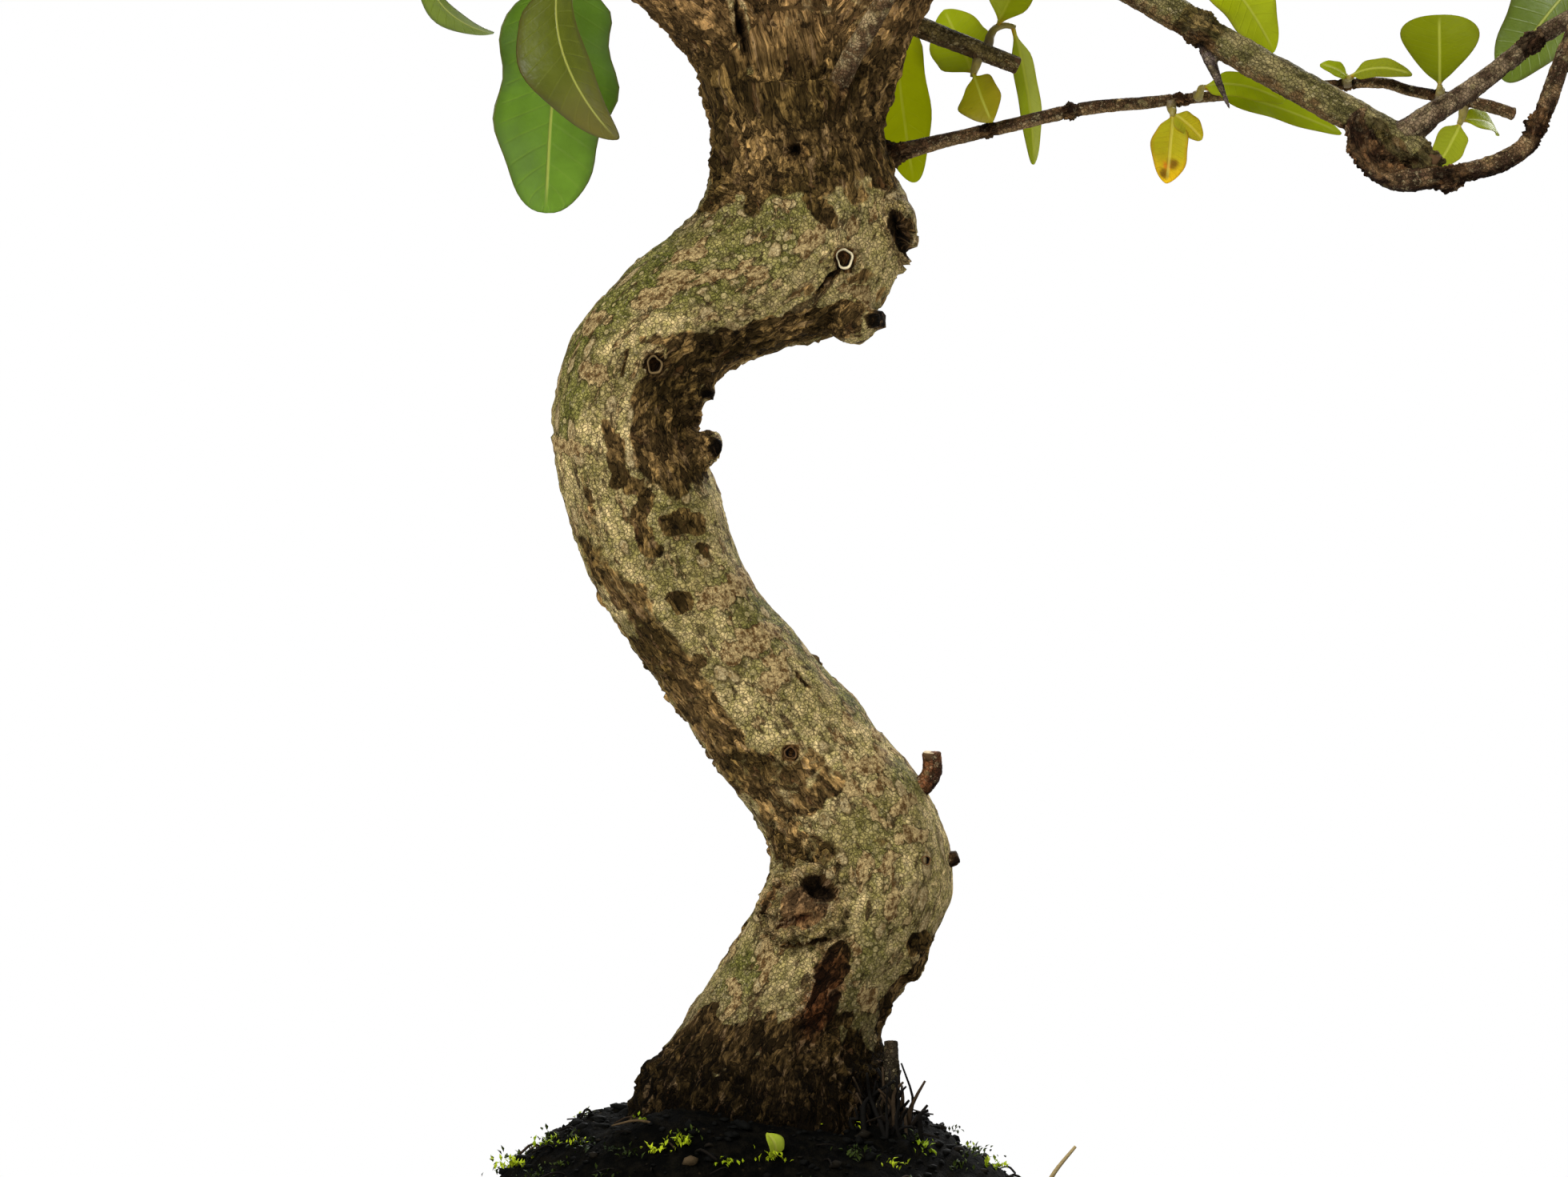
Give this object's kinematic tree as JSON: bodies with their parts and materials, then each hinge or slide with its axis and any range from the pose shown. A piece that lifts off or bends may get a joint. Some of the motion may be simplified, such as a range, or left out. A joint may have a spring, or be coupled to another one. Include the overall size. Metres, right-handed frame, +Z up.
{
  "type": "pomegranate bonsai",
  "caption": "Small potted pomegranate tree with an S-bent trunk, bare lower limbs and a crown of short glossy-leaved shoots, rooted in mounded soil in a plain oval pot.",
  "frame": {"origin": "the middle of the outer box, at the height of the surface that the pot's feet stand on", "axes": "+Z up the tree, +X to its right along the pot's long side as the picture shows it, and -Y toward the viewer"},
  "size_m": [0.3364, 0.1734, 0.4372],
  "materials": {
    "bark": "matte",
    "leaf_green": "satin",
    "leaf_yellow": "satin",
    "peat": "matte",
    "stoneware": "matte",
    "screen": "matte"
  },
  "bodies": {
    "root": {"drain_mesh_left": "screen", "drain_mesh_right": "screen", "pot": "stoneware", "shoot_branch": "leaf_green", "shoot_crown_01": "leaf_green", "shoot_crown_02": "leaf_green", "shoot_crown_03": "leaf_green", "shoot_crown_04": "leaf_green", "shoot_crown_05": "leaf_green", "shoot_crown_06": "leaf_green", "shoot_crown_07": "leaf_green", "shoot_crown_08": "leaf_green", "shoot_crown_09": "leaf_green", "shoot_crown_10": "leaf_green", "shoot_crown_11": "leaf_green", "shoot_crown_12": "leaf_green", "shoot_crown_13": "leaf_green", "shoot_crown_14": "leaf_green", "shoot_crown_15": "leaf_green", "shoot_crown_16": "leaf_green", "shoot_crown_17": "leaf_green", "shoot_crown_18": "leaf_green", "shoot_crown_19": "leaf_green", "shoot_crown_20": "leaf_green", "shoot_crown_21": "leaf_green", "shoot_crown_22": "leaf_green", "shoot_crown_23": "leaf_green", "shoot_crown_24": "leaf_green", "shoot_crown_25": "leaf_green", "shoot_crown_26": "leaf_green", "shoot_crown_27": "leaf_green", "shoot_crown_28": "leaf_green", "shoot_crown_29": "leaf_green", "shoot_crown_30": "leaf_green", "shoot_crown_31": "leaf_green", "shoot_crown_32": "leaf_green", "shoot_crown_33": "leaf_green", "shoot_crown_34": "leaf_green", "shoot_crown_35": "leaf_green", "shoot_crown_36": "leaf_green", "shoot_dark": "leaf_green", "shoot_left_curled": "leaf_green", "shoot_left_pair": "leaf_green", "shoot_neck_back": "leaf_green", "shoot_stub_lower": "leaf_green", "shoot_stub_upper": "leaf_green", "shoot_twig_far": "leaf_green", "shoot_twig_middle": "leaf_green", "shoot_twig_under": "leaf_green", "shoot_twig_upright": "leaf_green", "shoot_twig_yellow": "leaf_yellow", "soil": "peat", "wood": "bark"}
  },
  "joints": []
}
